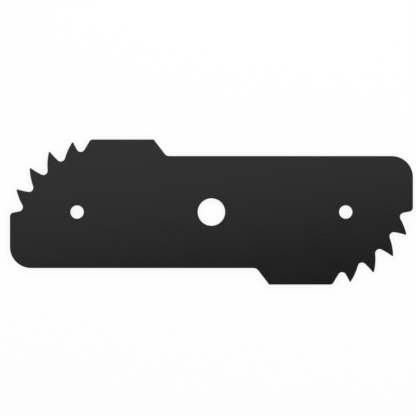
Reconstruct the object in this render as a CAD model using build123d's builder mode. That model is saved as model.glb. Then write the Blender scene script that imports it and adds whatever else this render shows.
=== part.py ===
"""Lawn edger blade: one flat blank stamped from steel sheet, the same when turned half a turn on its bore.

X runs along the blade, Y across it and Z up through the sheet.
The origin is the centre of the bore, on the lower face.
"""

from build123d import *

import os
from math import acos, cos, degrees, radians, sin

# Blank, in millimetres
length = 190.5
web_width = 53.0
thickness = 2.3
corner_radius = 10.0

# Wing that carries the teeth at each end
wing_step = 7.83
wing_flat = 29.9
wing_corner_radius = 2.0
ramp_run = 6.0
ramp_foot_radius = 2.8
ramp_top_radius = 0.5

# Teeth, on an arc that is tangent to the end of the blade and to the wing
tip_arc = 38.1
tooth_count = 4
tooth_span_angle = 54.6
tooth_lead_angle = 3.8
tip_radius = 0.4
face_radius = 34.0
back_radius = 26.0

# Gullets between the teeth, with their centres on a flatter arc
gullet_arc = 50.0
gullet_span_angle = 48.0
gullet_middle_angle = 46.25
gullet_depth = 7.85
gullet_radius = 2.0
end_corner_drop = 2.7
end_corner_radius = 2.0

# Bore for the arbor and the holes for two drive pins
arbor_diameter = 12.7
bore_clearance = 0.1
pin_diameter = 6.0
pin_clearance = 0.125
pin_spacing = 127.0

# Stamped edges: rounded on the upper face, broken on the lower face
edge_roll = 0.3
edge_break = 0.12

wing_edge_y = web_width / 2 + wing_step
bore_radius = arbor_diameter / 2 + bore_clearance
pin_hole_radius = pin_diameter / 2 + pin_clearance


def ray(angle):
    """Direction at an angle in degrees, turned up from the end of the blade towards the wing."""
    return Vector(-cos(radians(angle)), sin(radians(angle)))


def flank_centre(tip, gullet, radius, reach):
    """Centre of a tooth flank's arc: one radius from the tip and a given reach from the gullet's centre."""
    across = gullet - tip
    spread = degrees(acos((across.length**2 + radius**2 - reach**2) / (2 * across.length * radius)))
    return tip + across.normalized().rotate(Axis.Z, spread) * radius


def face_foot(tip, gullet):
    """Where the hollow face of a tooth runs into the gullet below it."""
    centre = flank_centre(tip, gullet, face_radius, face_radius - gullet_radius)
    return centre + (gullet - centre).normalized() * face_radius


def back_foot(tip, gullet):
    """Where the gullet runs out into the round back of the next tooth."""
    centre = flank_centre(tip, gullet, back_radius, back_radius + gullet_radius)
    return gullet + (centre - gullet).normalized() * gullet_radius


def straight_foot(corner, gullet):
    """Where the last gullet runs out into a straight line to the corner of the wing."""
    across = corner - gullet
    turn = degrees(acos(gullet_radius / across.length))
    return gullet + across.normalized().rotate(Axis.Z, -turn) * gullet_radius


def corners(sketch, point):
    """The corner of an outline at a point, with its twin half a turn round."""
    return [sketch.vertices().sort_by_distance(place)[0] for place in (point, point * -1)]


# Points of the toothed corner, in order from the end of the blade to the wing
tip_centre = Vector(tip_arc - length / 2, wing_edge_y - tip_arc)
tip_middle = gullet_middle_angle + tooth_lead_angle
tips = [
    tip_centre + ray(tip_middle + tooth_span_angle * (tooth / (tooth_count - 1) - 0.5)) * tip_arc
    for tooth in range(tooth_count)
]
gullet_centre = tip_centre + ray(gullet_middle_angle) * (tip_arc - gullet_depth + gullet_radius - gullet_arc)
gullets = [
    gullet_centre + ray(gullet_middle_angle + gullet_span_angle * (gullet / tooth_count - 0.5)) * gullet_arc
    for gullet in range(tooth_count + 1)
]
end_corner = Vector(-length / 2, gullets[0].Y - end_corner_drop)
wing_corner = tip_centre + Vector(0, tip_arc)
ramp_top = wing_corner + Vector(wing_flat, 0)
ramp_foot = ramp_top + Vector(ramp_run, -wing_step)
plain_corner = Vector(length / 2, web_width / 2)

with BuildPart() as edger_blade:
    with BuildSketch() as blank:
        with BuildLine() as half_edge:
            # Each gullet: down the face of one tooth, round the bottom, up the back of the next
            for gullet, start, end in zip(gullets, [end_corner] + tips, tips):
                inlet = face_foot(start, gullet)
                outlet = back_foot(end, gullet)
                RadiusArc(start, inlet, -face_radius)
                RadiusArc(inlet, outlet, -gullet_radius)
                RadiusArc(outlet, end, back_radius)
            # Last gullet, up to the wing
            inlet = face_foot(tips[-1], gullets[-1])
            outlet = straight_foot(wing_corner, gullets[-1])
            RadiusArc(tips[-1], inlet, -face_radius)
            RadiusArc(inlet, outlet, -gullet_radius)
            # Wing, long edge and plain corner, as far as the other end's first gullet
            Polyline(outlet, wing_corner, ramp_top, ramp_foot, plain_corner, end_corner * -1)
            add(half_edge.line, rotation=180)
        make_face()
        fillet(corners(blank, plain_corner), corner_radius)
        fillet(corners(blank, wing_corner), wing_corner_radius)
        fillet(corners(blank, ramp_top), ramp_top_radius)
        fillet(corners(blank, ramp_foot), ramp_foot_radius)
        fillet(corners(blank, end_corner), end_corner_radius)
        for tip in tips:
            fillet(corners(blank, tip), tip_radius)
    extrude(amount=thickness)
    Hole(bore_radius)
    with GridLocations(pin_spacing, 0, 2, 1):
        Hole(pin_hole_radius)
    fillet(edger_blade.faces().sort_by(Axis.Z)[-1].edges(), min(edge_roll, 0.8 * tip_radius))
    chamfer(edger_blade.faces().sort_by(Axis.Z)[0].edges(), edge_break)

os.makedirs("parts", exist_ok=True)
edger_blade.part.label = "edger_blade"
export_step(edger_blade.part, "parts/edger_blade.step")
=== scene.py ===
import math

import bpy
from mathutils import Euler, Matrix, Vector


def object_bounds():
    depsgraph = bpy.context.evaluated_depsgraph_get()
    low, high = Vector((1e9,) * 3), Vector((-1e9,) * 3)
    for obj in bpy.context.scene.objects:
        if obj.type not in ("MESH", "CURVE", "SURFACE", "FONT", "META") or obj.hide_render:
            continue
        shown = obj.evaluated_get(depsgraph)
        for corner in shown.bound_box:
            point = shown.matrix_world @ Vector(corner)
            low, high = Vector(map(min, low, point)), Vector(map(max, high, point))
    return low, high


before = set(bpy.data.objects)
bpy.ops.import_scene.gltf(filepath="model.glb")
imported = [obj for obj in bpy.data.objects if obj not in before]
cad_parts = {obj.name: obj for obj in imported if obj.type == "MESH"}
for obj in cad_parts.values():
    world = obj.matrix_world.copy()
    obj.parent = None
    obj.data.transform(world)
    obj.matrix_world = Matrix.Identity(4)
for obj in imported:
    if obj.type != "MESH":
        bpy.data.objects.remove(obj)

bl_info = {
    "name": "Lawn Edger Blade",
    "version": (1, 0, 0),
    "blender": (4, 5, 0),
    "location": "3D View > Sidebar > Edger Blade",
    "description": "Paints a stamped lawn edger blade and lays it on a white studio floor",
    "category": "Object",
}

BLADE_NODE = "edger_blade"
CAD_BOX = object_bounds()
SHEET_THICKNESS = CAD_BOX[1].z - CAD_BOX[0].z
MILLIMETRE = 0.001
WHITE = (1.0, 1.0, 1.0, 1.0)

# Middle of a noise, which runs from 0 to 1
NOISE_MIDDLE = 0.5

# Upright part of a surface's normal, from the cut walls to the rounded edges and on to the flat faces
WALL_TO_EDGE = (0.1, 0.4)
EDGE_TO_FACE = (0.9, 0.99)

# Scales that draw a pattern out along the blade, and up and down the cut walls
ALONG_BLADE = (0.02, 1.0, 1.0)
DOWN_WALL = (1.0, 1.0, 0.08)
TORN_DOWN_WALL = (1.0, 1.0, 0.6)

# Sine of the angle above the floor, from the backdrop to the walls and from the walls to the ceiling
BACKDROP_TO_WALL = (0.02, 0.2)
WALL_TO_CEILING = (0.6, 0.9)

# Lights round the blade: how many, and how far the first is turned from the front
SIDE_LIGHTS = 3
FIRST_SIDE_LIGHT = math.radians(48.0)

# Drop of the floor below the blade, so that neither face shows through the other
FLOOR_GAP = 0.01 * MILLIMETRE


def length(name, description, value):
    """A size in metres."""
    return bpy.props.FloatProperty(
        name=name,
        description=description,
        default=value,
        min=0.0,
        precision=6,
        unit="LENGTH",
        subtype="DISTANCE",
    )


def share(name, description, value):
    """A number from 0 to 1."""
    return bpy.props.FloatProperty(
        name=name, description=description, default=value, min=0.0, max=1.0, subtype="FACTOR"
    )


def color(name, description, value):
    """A colour in linear light."""
    return bpy.props.FloatVectorProperty(
        name=name, description=description, default=value, min=0.0, max=1.0, size=3, subtype="COLOR"
    )


def angle(name, description, degrees):
    """An angle, given in degrees."""
    return bpy.props.FloatProperty(
        name=name,
        description=description,
        default=math.radians(degrees),
        unit="ROTATION",
        subtype="ANGLE",
    )


def power(name, description, watts):
    """The power of a light in watts."""
    return bpy.props.FloatProperty(
        name=name, description=description, default=watts, min=0.0, unit="POWER"
    )


def pair(name, description, values):
    """Two lengths in metres: a size, a place on a plane or a span."""
    return bpy.props.FloatVectorProperty(
        name=name,
        description=description,
        default=values,
        size=2,
        precision=5,
        unit="LENGTH",
        subtype="XYZ",
    )


class PaintProperties(bpy.types.PropertyGroup):
    """Satin black paint over the stamped sheet"""

    coat_color: color("Coat Colour", "Paint at its full thickness", (0.0036, 0.0036, 0.0036))
    thin_color: color("Thin Coat Colour", "Paint that has drawn thin", (0.0062, 0.0061, 0.0060))
    thin_share: share("Thin Coat Share", "How far clouds, edges and torn grain thin the coat", 0.5)
    ior: bpy.props.FloatProperty(
        name="Index of Refraction",
        description="Index of refraction of the paint",
        default=1.5,
        min=1.0,
    )
    roughness: share("Roughness", "Roughness of the paint", 0.28)
    cloud_roughness: share("Cloud Roughness", "Change of roughness from cloud to cloud", 0.06)
    rolling_roughness: share("Rolling Line Roughness", "Change of roughness from line to line", 0.02)
    torn_roughness: share("Torn Roughness", "Roughness added where the sheet tore", 0.12)
    edge_smoothness: share("Edge Smoothness", "Roughness lost where the paint has drawn thin", 0.03)
    cloud_size: length("Cloud Size", "Width of the slow changes in the coat", 26 * MILLIMETRE)
    wave_size: length("Wave Size", "Width of the waves in the flattened sheet", 80 * MILLIMETRE)
    wave_height: length("Wave Height", "Height of the waves in the flattened sheet", 0.05 * MILLIMETRE)
    peel_size: length("Orange Peel Size", "Width of the paint's ripples", 1.6 * MILLIMETRE)
    peel_height: length("Orange Peel Height", "Height of the paint's ripples", 0.022 * MILLIMETRE)
    grain_size: length("Grain Size", "Width of the grain of the satin finish", 0.25 * MILLIMETRE)
    grain_height: length("Grain Height", "Height of the grain of the satin finish", 0.0008 * MILLIMETRE)
    rolling_width: length("Rolling Line Width", "Width of the mill's rolling lines", 0.5 * MILLIMETRE)
    rolling_height: length("Rolling Line Height", "Height of the mill's rolling lines", 0.0006 * MILLIMETRE)
    speck_spacing: length("Speck Spacing", "Distance between places for a dust speck", 11 * MILLIMETRE)
    speck_share: share("Speck Share", "Share of the places that hold a dust speck", 0.35)
    speck_width: length("Speck Width", "Width of the dust specks", 0.5 * MILLIMETRE)
    speck_height: length("Speck Height", "Height of the tallest dust specks", 0.015 * MILLIMETRE)
    land_share: share("Cut Land", "Share of the sheet's thickness that the die cut smooth", 0.4)
    border_size: length("Cut Border Size", "Width of the waves in the land's border", 3 * MILLIMETRE)
    border_height: length("Cut Border Height", "Height of the waves in the land's border", 0.6 * MILLIMETRE)
    border_blur: length("Cut Border Blur", "Height over which the land ends", 0.25 * MILLIMETRE)
    drag_width: length("Drag Line Width", "Width of the lines that the die left", 0.16 * MILLIMETRE)
    drag_height: length("Drag Line Height", "Height of the lines that the die left", 0.012 * MILLIMETRE)
    tear_size: length("Tear Grain Size", "Width of the grain where the sheet tore", 0.4 * MILLIMETRE)
    tear_height: length("Tear Grain Height", "Height of the grain where the sheet tore", 0.1 * MILLIMETRE)


class StageProperties(bpy.types.PropertyGroup):
    """Floor, room, light and camera"""

    view_width: length("View Width", "Width of the picture at the blade's upper face", 196.56 * MILLIMETRE)
    view_centre: pair(
        "View Centre",
        "Point of the upper face in the middle of the picture",
        (-1.62 * MILLIMETRE, 1.91 * MILLIMETRE),
    )
    lens: bpy.props.FloatProperty(
        name="Focal Length",
        description="Focal length of the camera, so long that the blade shows almost no perspective",
        unit="CAMERA",
        default=400.0,
    )
    floor_width: length("Floor Width", "Width of the square floor", 14.0)
    floor_color: color("Floor Colour", "Colour of the floor", (0.95, 0.95, 0.95))
    floor_glow: share("Floor Glow", "Share of plain white in the floor round the blade", 0.87)
    shadow_reach: pair("Shadow Reach", "Distances between which the floor turns plain white", (0.16, 0.6))
    softbox_size: pair("Softbox Size", "Length and width of the softbox over the blade", (0.488, 0.511))
    softbox_place: bpy.props.FloatVectorProperty(
        name="Softbox Place",
        description="Centre of the softbox over the blade",
        unit="LENGTH",
        subtype="TRANSLATION",
        size=3,
        default=(0.0466, 0.2491, 0.3),
    )
    softbox_turn: angle("Softbox Turn", "Angle of the softbox about the vertical", 9.1)
    softbox_power: power("Softbox Power", "Power of the softbox over the blade", 0.57)
    side_light_size: pair("Side Light Size", "Length and width of the lights round the blade", (0.6, 0.3))
    side_light_distance: length("Side Light Distance", "Distance of the lights round the blade", 0.55)
    side_light_rise: angle("Side Light Rise", "Angle of the lights round the blade above the floor", 42.0)
    side_light_power: power("Side Light Power", "Power of each light round the blade", 1.15)
    wall_glow: share("Wall Brightness", "Brightness of the walls above the white backdrop", 0.25)
    ceiling_glow: share("Ceiling Brightness", "Brightness of the ceiling", 0.0)


class Wire:
    """A shader socket for use in Python expressions: each operator adds a Math node."""

    def __init__(self, nodes, socket):
        self.nodes = nodes
        self.socket = socket

    def __add__(self, other):
        return self.nodes.math("ADD", self, other)

    def __radd__(self, other):
        return self.nodes.math("ADD", other, self)

    def __sub__(self, other):
        return self.nodes.math("SUBTRACT", self, other)

    def __rsub__(self, other):
        return self.nodes.math("SUBTRACT", other, self)

    def __mul__(self, other):
        return self.nodes.math("MULTIPLY", self, other)

    def __rmul__(self, other):
        return self.nodes.math("MULTIPLY", other, self)

    def __abs__(self):
        return self.nodes.math("ABSOLUTE", self)


class ShaderNodes:
    """A node tree and the ways to add to it."""

    def __init__(self, owner):
        owner.use_nodes = True
        self.tree = owner.node_tree
        self.tree.nodes.clear()

    def add(self, kind, settings=None, sockets=None):
        """Adds a node with its settings, then gives its sockets, by name or number, values or links."""
        made = self.tree.nodes.new(kind)
        for name, value in (settings or {}).items():
            setattr(made, name, value)
        named = {socket.name: socket for socket in made.inputs if socket.enabled}
        for key, value in (sockets or {}).items():
            socket = made.inputs[key] if isinstance(key, int) else named[key]
            if isinstance(value, Wire):
                self.tree.links.new(value.socket, socket)
            else:
                socket.default_value = value
        return {socket.name: Wire(self, socket) for socket in made.outputs if socket.enabled}

    def math(self, operation, *values):
        """The result of a Math node on sockets and numbers."""
        return self.add("ShaderNodeMath", {"operation": operation}, dict(enumerate(values)))["Value"]

    def noise(self, place, size, detail=2.0, rough=0.5):
        """Noise from 0 to 1, with lumps of a given size in metres."""
        sockets = {"Vector": place, "Scale": 1.0 / size, "Detail": detail, "Roughness": rough}
        return self.add("ShaderNodeTexNoise", None, sockets)["Fac"]

    def step(self, value, start, end):
        """A soft step from 0 at start to 1 at end."""
        settings = {"interpolation_type": "SMOOTHSTEP"}
        sockets = {"Value": value, "From Min": start, "From Max": end}
        return self.add("ShaderNodeMapRange", settings, sockets)["Result"]

    def mix_shader(self, factor, first, second):
        """The first shader where the factor is 0, the second where it is 1."""
        return self.add("ShaderNodeMixShader", None, {0: factor, 1: first, 2: second})["Shader"]

    def stretch(self, place, scale):
        """The same place, with a pattern drawn out along an axis whose scale is small."""
        return self.add("ShaderNodeVectorMath", {"operation": "MULTIPLY"}, {0: place, 1: scale})["Vector"]


def black_paint(paint):
    """Satin black paint: rippled on the faces, thin on the edges and where the sheet tore."""
    material = bpy.data.materials.new("satin_black_paint")
    nodes = ShaderNodes(material)
    coordinates = nodes.add("ShaderNodeTexCoord")
    place = coordinates["Object"]
    height = nodes.add("ShaderNodeSeparateXYZ", None, {"Vector": place})["Z"]
    level = abs(nodes.add("ShaderNodeSeparateXYZ", None, {"Vector": coordinates["Normal"]})["Z"])
    wall = 1.0 - nodes.step(level, *WALL_TO_EDGE)
    face = nodes.step(level, *EDGE_TO_FACE)
    edge = 1.0 - wall - face

    # Coat: slow clouds, ripples of the dried paint, satin grain and a few dust specks
    cloud = nodes.noise(place, paint.cloud_size, detail=3.0)
    peel = nodes.noise(place, paint.peel_size, detail=1.0, rough=0.4)
    grain = nodes.noise(place, paint.grain_size)
    cells = nodes.add(
        "ShaderNodeTexVoronoi",
        {"voronoi_dimensions": "2D"},
        {"Vector": place, "Scale": 1.0 / paint.speck_spacing},
    )
    chance = nodes.add("ShaderNodeSeparateColor", None, {"Color": cells["Color"]})["Red"]
    chosen = nodes.step(chance, 1.0 - paint.speck_share, 1.0)
    speck = 1.0 - nodes.step(cells["Distance"] * paint.speck_spacing, 0.0, paint.speck_width / 2)
    dust = paint.speck_height * (speck * chosen * face)
    coat = paint.peel_height * peel + paint.grain_height * grain + dust

    # Sheet: waves left by the flattening and the lines of the rolling, along the blade
    wave = nodes.noise(place, paint.wave_size, detail=0.0)
    rolling = nodes.noise(nodes.stretch(place, ALONG_BLADE), paint.rolling_width, detail=3.0)
    sheet = paint.wave_height * wave + paint.rolling_height * (rolling * face)

    # Cut walls: drag lines on the smooth land above, torn grain below, with an uneven border
    border = paint.border_height * (nodes.noise(place, paint.border_size) - NOISE_MIDDLE)
    depth = SHEET_THICKNESS - height + border
    land_depth = paint.land_share * SHEET_THICKNESS
    torn = wall * nodes.step(depth, land_depth, land_depth + paint.border_blur)
    drag = nodes.noise(nodes.stretch(place, DOWN_WALL), paint.drag_width)
    tear = nodes.noise(nodes.stretch(place, TORN_DOWN_WALL), paint.tear_size, detail=4.0, rough=0.6)
    cut = paint.drag_height * (drag * (wall - torn)) + paint.tear_height * (tear * torn)

    # Finish: colour by how thin the coat is, gloss and relief
    thin = paint.thin_share * (cloud + edge * peel + torn * tear)
    tint = nodes.add(
        "ShaderNodeMix",
        {"data_type": "RGBA"},
        {"Factor": thin, "A": (*paint.coat_color, 1.0), "B": (*paint.thin_color, 1.0)},
    )
    roughness = (
        paint.roughness
        + paint.cloud_roughness * (cloud - NOISE_MIDDLE)
        + paint.rolling_roughness * (face * (rolling - NOISE_MIDDLE))
        + paint.torn_roughness * torn
        - paint.edge_smoothness * edge
    )
    relief = coat + sheet + cut
    bump = nodes.add("ShaderNodeBump", None, {"Strength": 1.0, "Distance": 1.0, "Height": relief})
    surface = nodes.add("ShaderNodeBsdfPrincipled", None, {
        "Base Color": tint["Result"],
        "Roughness": roughness,
        "IOR": paint.ior,
        "Normal": bump["Normal"],
    })
    nodes.add("ShaderNodeOutputMaterial", None, {"Surface": surface["BSDF"]})
    return material


def white_floor(stage):
    """White floor that keeps the blade's shadow, is plain white further off and is clear from below."""
    material = bpy.data.materials.new("white_floor")
    nodes = ShaderNodes(material)
    lit = nodes.add("ShaderNodeBsdfDiffuse", None, {"Color": (*stage.floor_color, 1.0)})["BSDF"]
    glow = nodes.add("ShaderNodeEmission", None, {"Color": WHITE, "Strength": 1.0})["Emission"]
    clear = nodes.add("ShaderNodeBsdfTransparent")["BSDF"]
    place = nodes.add("ShaderNodeTexCoord")["Object"]
    distance = nodes.add("ShaderNodeVectorMath", {"operation": "LENGTH"}, {0: place})["Value"]
    plain = stage.floor_glow + (1.0 - stage.floor_glow) * nodes.step(distance, *stage.shadow_reach)
    from_below = nodes.add("ShaderNodeNewGeometry")["Backfacing"]
    shown = nodes.mix_shader(from_below, nodes.mix_shader(plain, lit, glow), clear)
    nodes.add("ShaderNodeOutputMaterial", None, {"Surface": shown})
    return material


def white_room(stage):
    """White backdrop under grey walls and a dark ceiling; the camera sees plain white past the floor."""
    world = bpy.data.worlds.new("white_room")
    nodes = ShaderNodes(world)

    def glow(strength):
        sockets = {"Color": WHITE, "Strength": strength}
        return nodes.add("ShaderNodeBackground", None, sockets)["Background"]

    direction = nodes.add("ShaderNodeTexCoord")["Generated"]
    rise = nodes.add("ShaderNodeSeparateXYZ", None, {"Vector": direction})["Z"]
    backdrop = glow(1.0)
    room = nodes.mix_shader(nodes.step(rise, *BACKDROP_TO_WALL), backdrop, glow(stage.wall_glow))
    room = nodes.mix_shader(nodes.step(rise, *WALL_TO_CEILING), room, glow(stage.ceiling_glow))
    from_camera = nodes.add("ShaderNodeLightPath")["Is Camera Ray"]
    nodes.add("ShaderNodeOutputWorld", None, {"Surface": nodes.mix_shader(from_camera, room, backdrop)})
    return world


def area_light(name, place, turn, size, watts):
    """A soft rectangular light that the camera does not see."""
    bpy.ops.object.light_add(type="AREA", location=place, rotation=turn)
    light = bpy.context.object
    light.name = name
    light.visible_camera = False
    light.data.shape = "RECTANGLE"
    light.data.size, light.data.size_y = size
    light.data.energy = watts


class EDGER_OT_paint_blade(bpy.types.Operator):
    """Paint the stamped blade satin black"""

    bl_idname = "edger.paint_blade"
    bl_label = "Paint Blade"

    def execute(self, context):
        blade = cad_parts.get(BLADE_NODE)
        if blade is None or not blade.material_slots:
            raise RuntimeError(f"The frame has no painted node named {BLADE_NODE}")
        material = black_paint(context.scene.edger_paint)
        for slot in blade.material_slots:
            slot.material = material
        return {"FINISHED"}


class EDGER_OT_set_stage(bpy.types.Operator):
    """Lay out the floor, the room, the light and the camera"""

    bl_idname = "edger.set_stage"
    bl_label = "Set Stage"

    def execute(self, context):
        stage = context.scene.edger_stage
        bpy.ops.object.select_all(action="DESELECT")

        # The floor is seen and mirrored, and the room's white lower half gives the light it would throw
        bpy.ops.mesh.primitive_plane_add(size=stage.floor_width, location=(0.0, 0.0, -FLOOR_GAP))
        floor = context.object
        floor.name = "floor"
        floor.data.materials.append(white_floor(stage))
        floor.visible_diffuse = False
        floor.visible_shadow = False
        context.scene.world = white_room(stage)

        turn = Euler((0.0, 0.0, stage.softbox_turn))
        area_light("softbox", stage.softbox_place, turn, stage.softbox_size, stage.softbox_power)
        for number in range(SIDE_LIGHTS):
            way_round = FIRST_SIDE_LIGHT + math.tau * number / SIDE_LIGHTS
            turn = Euler((math.pi / 2 - stage.side_light_rise, 0.0, way_round))
            place = turn.to_matrix() @ Vector((0.0, 0.0, stage.side_light_distance))
            name = f"side_light_{number + 1}"
            area_light(name, place, turn, stage.side_light_size, stage.side_light_power)

        bpy.ops.object.camera_add(rotation=(0.0, 0.0, 0.0))
        camera = context.object
        camera.name = "camera"
        camera.data.lens = stage.lens
        distance = stage.view_width * stage.lens / camera.data.sensor_width
        camera.location = (*stage.view_centre, SHEET_THICKNESS + distance)
        context.scene.camera = camera
        context.scene.view_settings.view_transform = "Standard"
        return {"FINISHED"}


class EDGER_PT_sidebar(bpy.types.Panel):
    """Sizes, colours and steps of the blade's scene"""

    bl_idname = "EDGER_PT_sidebar"
    bl_label = "Edger Blade"
    bl_space_type = "VIEW_3D"
    bl_region_type = "UI"
    bl_category = "Edger Blade"

    def draw(self, context):
        steps = (
            (EDGER_OT_paint_blade, context.scene.edger_paint),
            (EDGER_OT_set_stage, context.scene.edger_stage),
        )
        for step, group in steps:
            column = self.layout.box().column()
            for name in type(group).__annotations__:
                column.prop(group, name)
            column.operator(step.bl_idname)


CLASSES = (PaintProperties, StageProperties, EDGER_OT_paint_blade, EDGER_OT_set_stage, EDGER_PT_sidebar)


def register():
    for cls in CLASSES:
        bpy.utils.register_class(cls)
    bpy.types.Scene.edger_paint = bpy.props.PointerProperty(type=PaintProperties)
    bpy.types.Scene.edger_stage = bpy.props.PointerProperty(type=StageProperties)


def unregister():
    del bpy.types.Scene.edger_stage
    del bpy.types.Scene.edger_paint
    for cls in reversed(CLASSES):
        bpy.utils.unregister_class(cls)


def main():
    register()
    bpy.ops.edger.paint_blade()
    bpy.ops.edger.set_stage()


if __name__ == "__main__":
    main()
